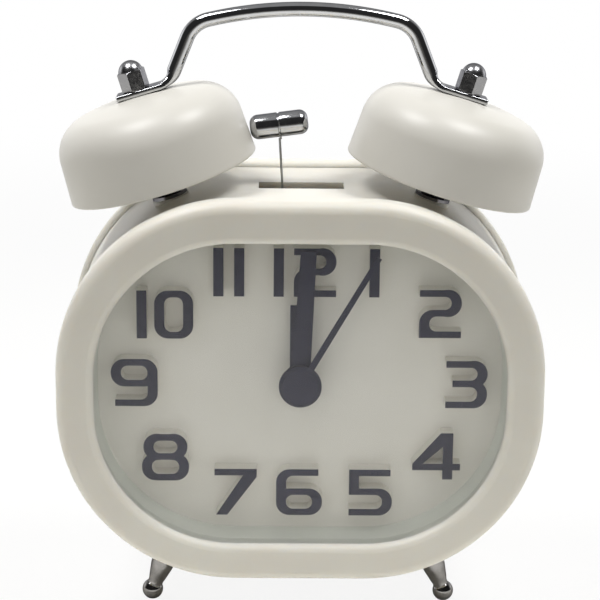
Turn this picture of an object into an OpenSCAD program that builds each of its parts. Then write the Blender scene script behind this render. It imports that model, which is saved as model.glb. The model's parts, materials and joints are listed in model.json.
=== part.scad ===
// Twin bell alarm clock: a rounded oblong quartz clock with a raised-figure dial, two bells
// struck by a motor-driven hammer, a bent-rod handle and turned feet.
// Millimetres. X runs to the viewer's right, Y from the front to the back, Z up.
// Inside place(), Y counts from the bezel's front face and Z from the middle of the case.

/* [Case] */
// Width of the case
case_w = 120; // [114:1:126]
// Height of the case
case_h = 97; // [95:1:101]
// Corner radius of the case outline
corner_r = 44; // [42:1:46]
// Depth of the case from the bezel to the rear rim
case_depth = 56; // [55:1:60]
// Depth of the front bezel
bezel_depth = 6.5; // [6:0.5:8]
// Rounding of the bezel's front edge
bezel_round = 2.8; // [1.5:0.1:3]
// How far the middle shell lies inside the bezel's outline
shell_step = 1.65; // [1.2:0.05:2]
// Wall thickness of the middle shell
shell_wall = 2.2; // [1.8:0.1:2.6]
// Depth of the rear cover's rim
rear_rim = 6; // [5:0.5:7]

/* [Window and dial] */
// Width of the bezel's window
window_w = 101.4; // [99:0.2:102]
// Height of the bezel's window
window_h = 77.2; // [75:0.2:78]
// How far the window's middle lies below the middle of the case
window_drop = 0.5; // [0:0.1:0.8]
// Corner radius of the window
window_r = 34.4; // [32:0.2:36]
// Rounding of the window's front edge
window_round = 2.1; // [1:0.1:2.2]
// How far the lens lies behind the front face
lens_back = 2.5; // [2:0.1:3]
// Thickness of the lens
lens_t = 1.5; // [1.2:0.1:1.8]
// How far the wall round the dial draws in on its way back
wall_draft = 1; // [0:0.1:1.2]
// Depth of the dial's face behind the front face
dial_back = 14; // [13.6:0.1:15]
// Height of the figures above the dial
figure_rise = 4.5; // [3:0.1:4.6]
// Height of one figure
figure_h = 12.2; // [11:0.1:12.6]
// Height of the dial's centre above the middle of the case
dial_z = 0.6; // [0:0.1:1]

/* [Hands] */
// Length of the hour hand
hour_len = 20; // [16:0.5:21]
// Width of the hour hand
hour_w = 5.2; // [4:0.1:6]
// Length of the minute hand
minute_len = 34.2; // [30:0.1:35]
// Length of the second hand
second_len = 38; // [30:0.5:38]
// Length of the alarm hand
alarm_len = 17; // [12:0.5:19]
// Angle of the minute hand past twelve
minute_angle = 3; // [0:1:30]
// Angle of the second hand past twelve
second_angle = 30; // [0:1:60]

/* [Bells and handle] */
// Outer radius of a bell at its rim
bell_r = 24.1; // [23:0.1:24.4]
// Height of a bell
bell_h = 21.6; // [21:0.1:22]
// Thickness of a bell's sheet
bell_t = 1; // [0.8:0.1:1.2]
// Shoulder radius of a bell
bell_shoulder = 9.5; // [8:0.5:11]
// Distance of a bell's rim centre from the middle
bell_x = 34.5; // [34.2:0.1:36]
// Height of a bell's rim centre
bell_z = 48.8; // [48.6:0.1:50]
// Outward tilt of a bell
bell_tilt = 17; // [15:0.5:18]
// Depth of the bells' middle plane
bell_y = 28.5; // [27:0.5:29]
// Diameter of the handle's rod
handle_d = 3.6; // [3:0.1:4]
// Slope of the handle's legs
leg_slope = 68.5; // [62:0.5:70]

/* [Hammer] */
// Swing of the hammer from the left bell to the right bell
hammer_swing = 15.5; // [14:0.1:15.5]
// Diameter of the hammer head
head_d = 5.9; // [5:0.1:6]
// Length of the hammer head
head_len = 14.6; // [13:0.1:14.6]
// Height of the hammer's pivot
pivot_z = 20; // [19:0.5:20.5]
// Height of the head above the pivot, hammer upright
head_reach = 42.4; // [42:0.1:43]
// Depth of the hammer's plane
hammer_y = 30; // [30:0.1:30.4]

/* [Feet] */
// Diameter of a foot's ball end
ball_d = 5.3; // [5:0.1:5.6]
// Distance of a front foot's ball from the middle
foot_x = 37.4; // [36:0.1:39]
// Depth of the front feet
foot_y = 14; // [13:0.5:16]
// Outward splay of the front feet
foot_splay = 20; // [16:1:22]
// Height of the case's middle above the floor
body_z = 58.9; // [58:0.1:60]

/* [Hidden] */
$fn = 64;
slack = 0.05;
run_fit = 0.05;
eps = 0.5;
cream = "#dedacb";
bell_cream = "#e6e3d8";
dial_grey = "#d8d6cf";
charcoal = "#46434f";
chrome = "#c9cbce";
brass = "#c8a862";
steel = "#9ea2a6";
moulding = "#eceae2";
knob_h = 6.5;
mid_y = (case_depth + knob_h + 0.5) / 2;

// Case radii measured from the corner centres
shell_out = corner_r - shell_step;
shell_in = shell_out - shell_wall;
shell_w = case_w - 2 * shell_step;
shell_h = case_h - 2 * shell_step;
groove_y = bezel_depth - 3;
rim_y = case_depth - rear_rim;
plate_y = case_depth - 2.5;
plate_t = 2;
lap = 3.2;
wall_gap = 0.9;
dial_t = 2;
screw_boss_r = 3;
screw_ring = 37.4;
screw_angle = 38;
ledge_w = 5;
ledge_t = 1.6;
lip_t = 1.2;
pad_r = 4.6;

// Layers of the movement, front to back
move_y = dial_back + dial_t;
move_t = 1.5;
alarm_wheel_y = move_y + 3;
hour_wheel_y = move_y + 5;
minute_wheel_y = move_y + 7.3;
second_wheel_y = move_y + 9.1;
move_cover_y = move_y + 10.4;
move_back = move_cover_y + 1.4;
move_w = 58;
move_h = 45;

// Planes of the hands' front faces
alarm_y = dial_back - 2.7;
hour_y = dial_back - 4.1;
minute_y = dial_back - 5.7;
second_y = dial_back - 7.1;
draft_y = second_y + 1.3;
hand_t = 0.6;
hub_r = 5.3;

// Radii of the nested arbors, inside to outside
arbor_r = 0.5;
minute_r = 1.3;
hour_r = 2;
alarm_r = 2.8;
bush_r = 4;

// Setting train: the motion wheel lies where it meshes with both the centre and the time knob
train_m = 0.5;
cannon_teeth = 12;
motion_teeth = 36;
motion_pinion_teeth = 10;
hour_teeth = 40;
time_teeth = 12;
alarm_teeth = 64;
alarm_pinion_teeth = 20;
knob_x = 20;
knob_rise = 6;
motion_d = train_m * (cannon_teeth + motion_teeth) / 2;
time_d = train_m * (motion_teeth + time_teeth) / 2;
knob_d = sqrt(knob_x * knob_x + knob_rise * knob_rise);
knob_angle = atan2(knob_rise, knob_x);
motion_angle = knob_angle
  + acos((motion_d * motion_d + knob_d * knob_d - time_d * time_d) / (2 * motion_d * knob_d));
motion_x = motion_d * cos(motion_angle);
motion_rise = motion_d * sin(motion_angle);
hour_m = 2 * motion_d / (motion_pinion_teeth + hour_teeth);
alarm_m = 2 * knob_d / (alarm_teeth + alarm_pinion_teeth);
knob_r = 5.6;
shaft_r = 1.5;

// Bell axis: distances along it from the rim plane
seat_s = -5.1;
washer_t = 0.8;
tab_t = 1.4;
stud_r = 2;
shank_r = 2.4;
crown_gap = 0.12;
bell_crown = 75;
nut_af = 7;
nut_h = 8;
hex_h = 4.7;
dome_r = 3.2;
nut_turn = 8;

// Handle path, from the middle of the arch down to the tab on a bell
arch_r = 100;
arch_slope = 13.5;
crook_r = 7.5;
heel_r = 3.4;
tab_in = 7.8;
tab_out = 5.2;
tab_w = 6.4;
press_w = 1.4;
press_from = 0.3;
press_len = 2.4;
bell_top_x = bell_x + bell_h * sin(bell_tilt);
bell_top_z = bell_z + bell_h * cos(bell_tilt);
rod_r = handle_d / 2;
rod_lift = rod_r + 0.2;
joint_gap = 0.1;
joint_over = 0.03;
heel_x = bell_top_x + rod_lift * sin(bell_tilt) - tab_in * cos(bell_tilt);
heel_z = bell_top_z + rod_lift * cos(bell_tilt) + tab_in * sin(bell_tilt);
arch_end_x = arch_r * sin(arch_slope);
crook_end_x = arch_end_x + crook_r * (sin(leg_slope) - sin(arch_slope));
leg_len = (heel_x - crook_end_x - heel_r * (sin(leg_slope) - sin(bell_tilt))) / cos(leg_slope);
arch_top = heel_z + arch_r * (1 - cos(arch_slope)) + crook_r * (cos(arch_slope) - cos(leg_slope))
  + leg_len * sin(leg_slope) + heel_r * (cos(bell_tilt) - cos(leg_slope));

// Hammer drive: the crank's pin works in the fork below the pivot
hammer_lean = -hammer_swing / 2;
fork_reach = 10;
lever_t = 1.6;
pin_r = 0.8;
crank_throw = fork_reach * sin(hammer_swing / 2);
crank_z = pivot_z - fork_reach * (1 + cos(hammer_swing / 2)) / 2;
crank_teeth = 32;
motor_teeth = 10;
motor_x = train_m * (crank_teeth + motor_teeth) / 2;
crank_y = hammer_y + 1.3;
web_t = 0.3;
frame_y = crank_y + 1.4;
frame_t = 1.4;
motor_r = 6;
motor_len = 15;
slot_w = 21.4;
slot_y = [24.5, 32];
head_round = 1.4;
groove_r = 0.35;
wire_r = 0.3;
wire_foot = [-1.6, 21];
wire_sink = 3;
wire_rise = head_reach - 0.1 - wire_foot[1];
wire_lean = atan2(-wire_foot[0], wire_rise);

// Battery bay in the rear cover
cell_r = 7.1;
cell_len = 50;
cell_y = plate_y - 9.2;
bay_y = cell_y - 8.4;
cell_z = -27;
bay_w = 57;
bay_h = 16;
bay_wall = 1.4;
door_w = 54;
door_h = 17;
door_gap = 0.4;
switch_z = 22;
switch_travel = 4;
switch_slot = [11, 4.4];

// Feet: length from the ball's centre to the collar's seat
rear_foot_y = 43;
foot_flat = 0.25;
ball_z = ball_d / 2 - foot_flat - body_z;
foot_len = -shell_h / 2 - ball_z;
splay_len = 13.5;
foot_boss = 4.5;
boss_r = 4;
foot_neck = 1.9;
foot_stem = 2.9;
foot_collar = 3.4;
foot_stud = 1.5;
stud_len = 4;

// Figures: strokes
stroke_v = 2.5;
stroke_h = 1.65;
bend_r = 3.4;
figure_mid = figure_h * 0.52;
face_t = 0.2;

// Digit, then its centre on the dial
figures = [[1, -5.5, 28.5], [2, 3.4, 28.5], [1, 18, 28.5], [2, 34.4, 18.2], [3, 41.4, 0], [4, 34.4, -18.9],
  [5, 18, -28.7], [6, 0, -28.7], [7, -16, -28.7], [8, -33.6, -19.6], [9, -41.2, 0],
  [1, -39.2, 17.6], [0, -31.3, 17.6], [1, -20.3, 28.5], [1, -15.2, 28.5]];

// Building blocks

module place() translate([0, -mid_y, body_z]) children();

module slab(y0, y1) translate([0, y1, 0]) rotate([90, 0, 0]) linear_extrude(y1 - y0) children();

module round_y(r, y0, y1) slab(y0, y1) circle(r);

module on_dial() translate([0, 0, dial_z]) children();

module soft_rect(w, h, r) {
  square([w, h - 2 * r], center = true);
  square([w - 2 * r, h], center = true);
  for (sx = [-1, 1], sz = [-1, 1])
    translate([sx * (w / 2 - r), sz * (h / 2 - r)]) circle(r);
}

module window_shape(grow) translate([0, -window_drop])
  soft_rect(window_w + 2 * grow, window_h + 2 * grow, window_r + grow);

// Carries a profile, radius then depth, round a rounded oblong
module oblong_sweep(w, h, r) {
  cx = w / 2 - r;
  cz = h / 2 - r;
  rotate([-90, 0, 0]) {
    for (k = [0:3])
      translate([(k == 0 || k == 3 ? cx : -cx), (k < 2 ? cz : -cz), 0])
        rotate([0, 0, 90 * k]) rotate_extrude(angle = 90) children();
    for (turn = [0, 180]) rotate([0, 0, turn]) {
      translate([cx, 0, 0]) rotate([90, 0, 0]) linear_extrude(2 * cz, center = true) children();
      translate([0, cz, 0]) rotate([90, 0, 90]) linear_extrude(2 * cx, center = true) children();
    }
  }
}

module rim_sweep() oblong_sweep(case_w, case_h, corner_r) children();

module window_sweep()
  translate([0, 0, -window_drop]) oblong_sweep(window_w, window_h, window_r) children();

// What a rounded front edge leaves of the corner; the arc meets both faces at a slight angle
module edge_cut(r, round) difference() {
  translate([r - eps, -eps]) square([round + eps, round + eps]);
  translate([r + round, round]) circle(round + joint_over);
}

// A rim band with rounded outer edges at the front and the back
module band(r0, r1, y0, y1, front, back) {
  translate([r0, y0]) square([r1 - r0 - max(front, back), y1 - y0]);
  translate([r0, y0 + front]) square([r1 - r0, y1 - y0 - front - back]);
  translate([r1 - front, y0 + front]) circle(front);
  translate([r1 - back, y1 - back]) circle(back);
  translate([r0, y0]) square([r1 - r0 - front, front + eps]);
  translate([r0, y1 - back - eps]) square([r1 - r0 - back, back + eps]);
}

module gear_shape(teeth, m) {
  pitch_r = m * teeth / 2;
  step = 360 / teeth;
  tooth = [[pitch_r - 1.15 * m, -0.28], [pitch_r, -0.21], [pitch_r + 0.8 * m, -0.1],
    [pitch_r + 0.8 * m, 0.1], [pitch_r, 0.21], [pitch_r - 1.15 * m, 0.28]];
  polygon([for (i = [0:teeth - 1]) for (p = tooth)
    p[0] * [cos((i + p[1]) * step), sin((i + p[1]) * step)]]);
}

// Turn of a pinion that fits its wheel's teeth, where the line between them meets the wheel at angle at
function mesh_turn(at, wheel_at, wheel_teeth, pinion_teeth) =
  let (phase = (at - wheel_at - 180 / wheel_teeth) * wheel_teeth / 360, off = phase - floor(phase))
  (0.5 - off) * -360 / pinion_teeth;

module washer_shape(outer, bore) difference() {
  circle(outer);
  circle(bore);
}

module on_bell(side) translate([side * bell_x, bell_y, bell_z]) rotate([0, side * bell_tilt, 0]) children();

module on_foot(side)
  translate([side * foot_x, foot_y, ball_z]) rotate([0, -side * foot_splay, 0]) children();

module on_hammer() translate([0, 0, pivot_z]) rotate([0, hammer_lean, 0]) children();

// Case

module front_bezel() color(cream) place() difference() {
  rim_sweep() difference() {
    band(corner_r - 16, corner_r, 0, bezel_depth, bezel_round, 0.6);
    translate([shell_in - slack, groove_y]) square([shell_wall + 2 * slack, bezel_depth]);
  }
  slab(-eps, bezel_depth + eps) window_shape(0);
  window_sweep() edge_cut(window_r, window_round);
  slab(lens_back, bezel_depth + eps) window_shape(lap + slack);
}

module lens() color("#dfe8e6", 0.3) place() slab(lens_back, lens_back + lens_t) window_shape(lap);

module dial_surround() color(cream) place() window_sweep()
  polygon([[window_r + wall_gap, lens_back + lens_t], [window_r + lap, lens_back + lens_t],
    [window_r + lap, dial_back], [window_r + wall_gap - wall_draft, dial_back],
    [window_r + wall_gap, draft_y]]);

// Figures, drawn from the left foot of the cell

// A stroke becomes a solid between the depths that its figure set gives
module stroke() slab($front, $back) children();

module tongue(w, z0, z1, r) {
  translate([-eps, z0]) square([w - r + eps, z1 - z0]);
  translate([-eps, z0 + r]) square([w + eps, z1 - z0 - 2 * r]);
  for (z = [z0 + r, z1 - r]) translate([w - r, z]) circle(r);
}

// A stroke that runs right, bends and comes back; low and high are where its two arms start
module hook(w, z0, z1, low, high) {
  inner_r = bend_r - stroke_h;
  middle = (z0 + z1) / 2;
  stroke() difference() {
    tongue(w, z0, z1, bend_r);
    tongue(w - stroke_v, z0 + stroke_h, z1 - stroke_h, min(inner_r, (z1 - z0) / 2 - stroke_h - 0.05));
    translate([-9, z0 - eps]) square([9 + low, middle - z0 + eps]);
    translate([-9, middle]) square([9 + high, z1 - middle + eps]);
  }
}

module flip(w) translate([w, 0, 0]) mirror([1, 0, 0]) children();

module loop_stroke(w, z0, z1) stroke() translate([w / 2, (z0 + z1) / 2]) difference() {
  soft_rect(w, z1 - z0, bend_r);
  soft_rect(w - 2 * stroke_v, z1 - z0 - 2 * stroke_h,
    min(bend_r - stroke_h, (z1 - z0) / 2 - stroke_h - 0.05));
}

module bar(x, w, z, h) stroke() translate([x, z]) square([w, h]);

function cell_w(d) = [9.6, 2.5, 10.4, 10.3, 12, 10.9, 11.6, 10.6, 11.8, 11.6][d];

module figure_shape(d) {
  w = cell_w(d);
  h = figure_h;
  low_top = figure_mid + stroke_h / 2;
  high_foot = figure_mid - stroke_h / 2;
  if (d == 0) loop_stroke(w, 0, h);
  if (d == 1) bar(0, w, 0, h);
  if (d == 2) {
    hook(w, high_foot, h, w / 2 - 1, 0);
    flip(w) hook(w, 0, low_top, 0, w / 2 - 1);
    bar(0, w, 0, stroke_h);
    bar(0, stroke_v, 0, bend_r);
  }
  if (d == 3) {
    hook(w, high_foot, h, w * 0.16, 0);
    hook(w, 0, low_top, 0, w * 0.16);
  }
  if (d == 4) {
    foot_z = h * 0.2;
    stem_x = w - 4.4;
    bar(stem_x, stroke_v, 0, h);
    bar(0, w, foot_z, stroke_h);
    stroke() polygon([[0, foot_z + stroke_h], [0, foot_z], [stroke_v, foot_z + stroke_h],
      [stem_x + 0.6, h - 3], [stem_x + 0.6, h], [stem_x - 0.6, h]]);
  }
  if (d == 5) {
    hook(w, 0, low_top, 0, 0);
    bar(0, w - 0.5, h - stroke_h, stroke_h);
    bar(0, stroke_v, high_foot, h - high_foot);
  }
  if (d == 6) {
    flip(w) hook(w, 0, h, w / 2, 1);
    loop_stroke(w, 0, figure_h * 0.58);
  }
  if (d == 7) {
    bar(0, w, h - stroke_h, stroke_h);
    stroke() polygon([[w - 3, h - 1], [w, h - 1], [w, h - stroke_h - 0.4], [3.2, 0], [0.4, 0]]);
  }
  if (d == 8) {
    loop_stroke(w, 0, low_top);
    translate([0.4, 0, 0]) loop_stroke(w - 0.8, high_foot, h);
  }
  if (d == 9) translate([w, 0, h]) rotate([0, 180, 0]) figure_shape(6);
}

module figure_set($front, $back) for (f = figures)
  translate([f[1] - cell_w(f[0]) / 2, 0, f[2] - figure_h / 2]) figure_shape(f[0]);

module dial() color(dial_grey) place() {
  difference() {
    slab(dial_back, dial_back + dial_t) window_shape(lap);
    on_dial() round_y(bush_r + slack, dial_back - eps, dial_back + dial_t + eps);
  }
  on_dial() figure_set(dial_back - figure_rise + face_t, dial_back + eps);
}

module numeral_faces() color(charcoal) place() on_dial()
  figure_set(dial_back - figure_rise, dial_back - figure_rise + face_t);

module screw_places() {
  x = case_w / 2 - corner_r + screw_ring * cos(screw_angle);
  z = case_h / 2 - corner_r + screw_ring * sin(screw_angle);
  for (sx = [-1, 1], sz = [-1, 1]) translate([sx * x, 0, sz * z]) children();
}

module case_body() color(cream) place() difference() {
  union() {
    rim_sweep() {
      translate([shell_in, groove_y + slack]) square([shell_wall, rim_y + 3 - groove_y - slack]);
      translate([shell_in - ledge_w, move_y]) square([ledge_w + eps, ledge_t]);
    }
    screw_places() round_y(screw_boss_r, plate_y - 16, plate_y - slack);
    intersection() {
      for (side = [-1, 1]) on_bell(side) translate([0, 0, seat_s - 4]) cylinder(r = pad_r, h = 4);
      slab(bezel_depth, rim_y) soft_rect(shell_w + 4, shell_h + 4, shell_out + 2);
    }
    for (side = [-1, 1]) on_foot(side) translate([0, 0, splay_len]) cylinder(r = boss_r, h = foot_boss);
    translate([0, rear_foot_y, -shell_h / 2 + 0.2]) cylinder(r = boss_r, h = foot_boss);
  }
  translate([-slot_w / 2, slot_y[0], shell_h / 2 - 8]) cube([slot_w, slot_y[1] - slot_y[0], 12]);
  screw_places() round_y(1.1, plate_y - 14, plate_y + eps);
  for (side = [-1, 1]) {
    on_bell(side) translate([0, 0, seat_s - 12]) cylinder(r = stud_r + slack, h = 20);
    on_foot(side) cylinder(r = foot_stud + slack, h = splay_len + stud_len + 2 * slack);
  }
  translate([0, rear_foot_y, -shell_h / 2 - eps])
    cylinder(r = foot_stud + slack, h = eps + stud_len + 2 * slack);
}

module rear_cover() color(cream) place() difference() {
  union() {
    rim_sweep() difference() {
      band(corner_r - 8, corner_r, rim_y, case_depth, 1.4, 2.4);
      translate([shell_in - slack, rim_y - eps]) square([shell_wall + 2 * slack, 3 + eps + slack]);
      translate([corner_r - 9, rim_y - eps])
        square([shell_in - slack - corner_r + 9 - lip_t, plate_y - rim_y + eps]);
    }
    slab(plate_y, plate_y + plate_t) soft_rect(case_w - 10, case_h - 10, corner_r - 5);
    translate([-bay_w / 2 - bay_wall, bay_y - bay_wall, cell_z - bay_h / 2 - bay_wall])
      cube([bay_w + 2 * bay_wall, plate_y + 0.2 - bay_y + bay_wall, bay_h + 2 * bay_wall]);
  }
  translate([-bay_w / 2, bay_y, cell_z - bay_h / 2]) cube([bay_w, plate_y - 0.6 - bay_y, bay_h]);
  translate([-door_w / 2, plate_y - 1, cell_z - door_h / 2]) cube([door_w, 6, door_h]);
  on_dial() for (sx = [-1, 1]) translate([sx * knob_x, 0, knob_rise])
    round_y(shaft_r + run_fit, rim_y, case_depth);
  translate([0, 0, switch_z]) slab(rim_y, case_depth) square(switch_slot, center = true);
  screw_places() {
    round_y(screw_boss_r + 0.3, rim_y - eps, plate_y);
    round_y(1.4, plate_y - eps, case_depth);
    round_y(2.6, plate_y + plate_t - 1.2, case_depth);
  }
}

module battery_door() color(cream) place() translate([0, 0, cell_z]) difference() {
  slab(plate_y - 0.4, plate_y + plate_t)
    square([door_w - 2 * door_gap, door_h - 2 * door_gap], center = true);
  for (i = [-2:2]) translate([i * 2.4, 0, 4.6])
    slab(plate_y + plate_t - 0.6, plate_y + plate_t + eps) square([1.2, 4], center = true);
}

module case_screws() color(steel) place() screw_places() {
  difference() {
    round_y(2.5, plate_y + plate_t - 1.15, plate_y + plate_t + 0.3);
    slab(plate_y + plate_t - 0.5, plate_y + plate_t + eps) {
      square([3.2, 0.7], center = true);
      square([0.7, 3.2], center = true);
    }
  }
  round_y(1.05, plate_y - 10, plate_y + plate_t - 1);
}

// Hands

module hand(length, w0, w1, bore, hub) difference() {
  union() {
    circle(hub);
    polygon([[-w0 / 2, 0], [w0 / 2, 0], [w1 / 2, length], [-w1 / 2, length]]);
  }
  circle(bore);
}

module alarm_hand() color(charcoal) place() on_dial()
  slab(alarm_y, alarm_y + hand_t) hand(alarm_len, 3, 2.4, alarm_r, 4.4);

module hour_hand() color(charcoal) place() on_dial()
  slab(hour_y, hour_y + hand_t) hand(hour_len, hour_w, hour_w, hour_r, 4.4);

module minute_hand() color(charcoal) place() on_dial() rotate([0, minute_angle, 0])
  slab(minute_y, minute_y + hand_t) hand(minute_len, 4.7, 3.9, minute_r, 4.4);

module second_hand() color(charcoal) place() on_dial() rotate([0, second_angle, 0]) {
  slab(second_y, second_y + hand_t) hand(second_len, 1.6, 1.3, arbor_r, 3);
  translate([0, second_y, 0]) rotate([-90, 0, 0]) rotate_extrude() difference() {
    polygon([[0, -0.7], [4.4, -0.7], [hub_r, -0.1], [hub_r, 0.9], [0, 0.9]]);
    translate([-1, -0.1]) square([1 + arbor_r, 2]);
  }
}

// Movement

module movement_case() color(moulding) place() on_dial() difference() {
  union() {
    difference() {
      slab(move_y, move_cover_y) soft_rect(move_w, move_h, 4);
      slab(move_y + move_t, move_cover_y + eps) soft_rect(move_w - 3, move_h - 3, 2.5);
    }
    round_y(bush_r, alarm_y + hand_t + 0.4, move_y + move_t);
  }
  round_y(alarm_r + run_fit, alarm_y, move_y + move_t + eps);
  for (sx = [-1, 1]) translate([sx * knob_x, 0, knob_rise])
    round_y(1 + run_fit, move_y + 0.5, move_y + move_t + eps);
}

module movement_cover() color(moulding) place() on_dial() difference() {
  union() {
    slab(move_cover_y, move_back) soft_rect(move_w, move_h, 4);
    translate([motion_x, 0, motion_rise]) round_y(1, hour_wheel_y - 0.6, move_cover_y + eps);
  }
  round_y(arbor_r + run_fit, move_cover_y - eps, move_back + eps);
  for (sx = [-1, 1]) translate([sx * knob_x, 0, knob_rise])
    round_y(shaft_r + run_fit, move_cover_y - eps, move_back + eps);
  translate([0, 0, pivot_z - dial_z]) round_y(1 + slack, move_back - 0.8, move_back + eps);
}

module circuit_board() color("#3f7a52") place() on_dial() translate([0, 0, -16])
  slab(move_y + 6.4, move_y + 7.6) square([46, 9], center = true);

module drive_coil() color("#b06a3a") place() on_dial() translate([-12, move_y + 9, -16]) rotate([0, 90, 0]) {
  cylinder(r = 1.35, h = 13, center = true);
  for (s = [-1, 1]) translate([0, 0, s * 7]) cylinder(r = 1.4, h = 1, center = true);
}

module second_wheel() color(brass) place() on_dial() {
  round_y(arbor_r, second_y + 0.9 - 1, move_back - 0.2);
  slab(second_wheel_y, second_wheel_y + 0.7) difference() {
    gear_shape(30, 0.4);
    circle(arbor_r);
    for (k = [0:4]) rotate(72 * k) translate([3.2, 0]) circle(1.2);
  }
}

module minute_arbor() color(brass) place() on_dial() {
  slab(minute_y, minute_wheel_y) washer_shape(minute_r, arbor_r + run_fit);
  slab(minute_wheel_y - 0.2, minute_wheel_y + 1.4) rotate(motion_angle) difference() {
    gear_shape(cannon_teeth, train_m);
    circle(arbor_r + run_fit);
  }
}

module motion_wheel() color(brass) place() on_dial() translate([motion_x, 0, motion_rise]) {
  slab(minute_wheel_y, minute_wheel_y + 1.2) rotate(motion_angle + 180 + 180 / motion_teeth) difference() {
    gear_shape(motion_teeth, train_m);
    circle(1 + run_fit);
    for (k = [0:4]) rotate(72 * k) translate([5.6, 0]) circle(1.7);
  }
  slab(hour_wheel_y - 0.4, minute_wheel_y + 0.1) rotate(motion_angle + 180) difference() {
    gear_shape(motion_pinion_teeth, hour_m);
    circle(1 + run_fit);
  }
}

module hour_wheel() color(brass) place() on_dial() {
  slab(hour_y, hour_wheel_y + 0.2) washer_shape(hour_r, minute_r + run_fit);
  slab(hour_wheel_y, hour_wheel_y + 1) rotate(motion_angle + 180 / hour_teeth) difference() {
    gear_shape(hour_teeth, hour_m);
    circle(minute_r + run_fit);
    for (k = [0:4]) rotate(72 * k) translate([5.6, 0]) circle(1.8);
  }
}

module alarm_wheel() color(brass) place() on_dial() {
  slab(alarm_y, alarm_wheel_y + 0.2) washer_shape(alarm_r, hour_r + run_fit);
  slab(alarm_wheel_y, alarm_wheel_y + 1) rotate(180 - knob_angle) difference() {
    gear_shape(alarm_teeth, alarm_m);
    circle(hour_r + run_fit);
    for (k = [0:4]) rotate(72 * k) translate([9.4, 0]) circle(3.4);
  }
}

// Rear controls

module fluted_knob() {
  slab(case_depth + 0.5, case_depth + knob_h + 0.5) difference() {
    circle(knob_r);
    for (k = [0:17]) rotate(20 * k) translate([knob_r + 0.25, 0]) circle(0.6);
  }
  round_y(shaft_r, move_y + move_t + 0.4, case_depth + 0.6);
  round_y(1, move_y + 0.7, move_y + move_t + 0.5);
}

module time_knob() color(charcoal) place() on_dial() translate([knob_x, 0, knob_rise]) {
  fluted_knob();
  to_motion = atan2(motion_rise - knob_rise, motion_x - knob_x);
  slab(minute_wheel_y - 0.1, minute_wheel_y + 1.3)
    rotate(to_motion + mesh_turn(to_motion + 180, motion_angle + 180, motion_teeth, time_teeth))
      gear_shape(time_teeth, train_m);
}

module alarm_knob() color(charcoal) place() on_dial() translate([-knob_x, 0, knob_rise]) {
  fluted_knob();
  slab(alarm_wheel_y - 0.1, alarm_wheel_y + 1.1)
    rotate(-knob_angle + 180 / alarm_pinion_teeth) gear_shape(alarm_pinion_teeth, alarm_m);
}

module alarm_switch() color(charcoal) place() translate([-switch_travel / 2, 0, switch_z]) {
  slab(plate_y - 1.6, plate_y - 0.35) square([9, 7.4], center = true);
  slab(plate_y - 0.5, case_depth + 1.4)
    square([switch_slot[0] - switch_travel - 0.8, switch_slot[1] - 0.8], center = true);
}

// Bells and handle

module bell_area(r, h, shoulder, crown) {
  top_r = r - 0.5;
  edge_x = top_r - shoulder;
  edge_z = h - crown + sqrt(pow(crown - shoulder, 2) - edge_x * edge_x);
  polygon([[0, -eps], [r, -eps], [r, 0], [top_r, edge_z], [0, edge_z]]);
  intersection() {
    union() {
      translate([edge_x, edge_z]) circle(shoulder);
      intersection() {
        translate([0, h - crown]) circle(crown);
        translate([0, edge_z - 1]) square([edge_x * crown / (crown - shoulder), h]);
      }
    }
    translate([0, -1]) square([r + 5, h + 5]);
  }
}

module bell(side) color(bell_cream) place() on_bell(side) rotate_extrude() difference() {
  bell_area(bell_r, bell_h, bell_shoulder, bell_crown);
  bell_area(bell_r - bell_t, bell_h - bell_t, bell_shoulder - bell_t, bell_crown - bell_t);
  translate([-1, -5]) square([40, 5]);
  translate([-1, 0]) square([1 + stud_r + slack, 40]);
}

module bell_left() bell(-1);

module bell_right() bell(1);

module bell_post(side) color(steel) place() on_bell(side) {
  translate([0, 0, seat_s - 8]) cylinder(r = stud_r, h = bell_h + tab_t + 5 - seat_s + 8);
  translate([0, 0, seat_s + washer_t]) {
    cylinder(r = shank_r + 0.6, h = 3);
    cylinder(r = shank_r, h = bell_h - bell_t - crown_gap - seat_s - washer_t);
  }
}

module bell_post_left() bell_post(-1);

module bell_post_right() bell_post(1);

module post_washers() color(chrome) place() for (side = [-1, 1]) on_bell(side)
  translate([0, 0, seat_s]) linear_extrude(washer_t) washer_shape(4.5, stud_r + slack);

module post_nuts() color(steel) place() for (side = [-1, 1]) on_bell(side)
  translate([0, 0, seat_s - 7.2]) linear_extrude(3.2) difference() {
    circle(nut_af / sqrt(3), $fn = 6);
    circle(stud_r + slack);
  }

module dome_nuts() color(chrome) place() for (side = [-1, 1]) on_bell(side)
  translate([0, 0, bell_h + tab_t]) difference() {
    union() {
      intersection() {
        rotate(-nut_turn * side) cylinder(r = nut_af / sqrt(3), h = hex_h, $fn = 6);
        cylinder(r1 = 8.2, r2 = 3.5, h = hex_h);
        cylinder(r1 = 3.7, r2 = 8.4, h = hex_h);
      }
      cylinder(r = dome_r, h = nut_h - dome_r);
      translate([0, 0, nut_h - dome_r]) sphere(dome_r);
    }
    translate([0, 0, -eps]) cylinder(r = stud_r + slack, h = 5.6);
  }

// An arc of the handle's rod about a line along Y; the angles are slopes, from level
module rod_arc(x, z, r, from, to, up) {
  trim = joint_gap / r * 180 / PI;
  translate([x, 0, z]) rotate([90, 0, 0]) rotate(up * 90 + trim - (up > 0 ? to : from))
    rotate_extrude(angle = abs(to - from) - 2 * trim) translate([r, 0]) circle(rod_r);
}

// The rod's straight and bent lengths end inside these balls, which join them
module rod_joint(x, z) translate([x, 0, z]) sphere(rod_r + joint_over);

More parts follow.
